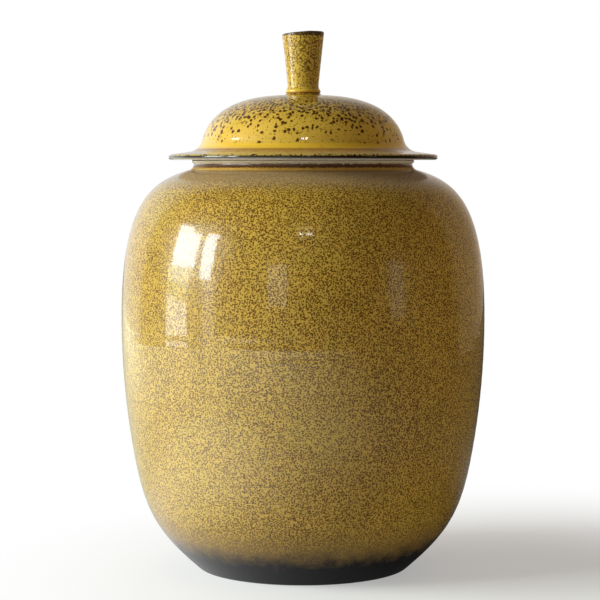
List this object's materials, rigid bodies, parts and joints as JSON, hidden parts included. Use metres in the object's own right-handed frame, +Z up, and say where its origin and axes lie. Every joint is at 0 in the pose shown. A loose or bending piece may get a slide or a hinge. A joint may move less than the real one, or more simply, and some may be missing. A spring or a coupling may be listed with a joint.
{
  "type": "lidded stoneware olive jar",
  "caption": "Tall round-shouldered stoneware storage jar with a short neck, turned foot and a lift-off domed lid with a wide flat flange and a flared knob.",
  "frame": {"origin": "centre of the foot, on the table", "axes": "+Z up along the axis of the wheel; the jar is round, so X and Y are free"},
  "size_m": [0.238, 0.238, 0.3511],
  "materials": {
    "pot_glaze": "glossy speckled olive glaze over dark clay",
    "lid_glaze": "glossy yellow ochre glaze with dark iron spots",
    "knob_glaze": "glossy speckled ochre glaze, dark brown at the rim"
  },
  "bodies": {
    "jar": {"jar_pot": "pot_glaze"},
    "lid": {"lid_dome": "lid_glaze", "lid_knob": "knob_glaze"}
  },
  "joints": [
    {"name": "lid_lift", "type": "slide", "parent": "jar", "child": "lid", "axis": [0, 0, 1], "range_m": [0, 0.16]}
  ]
}
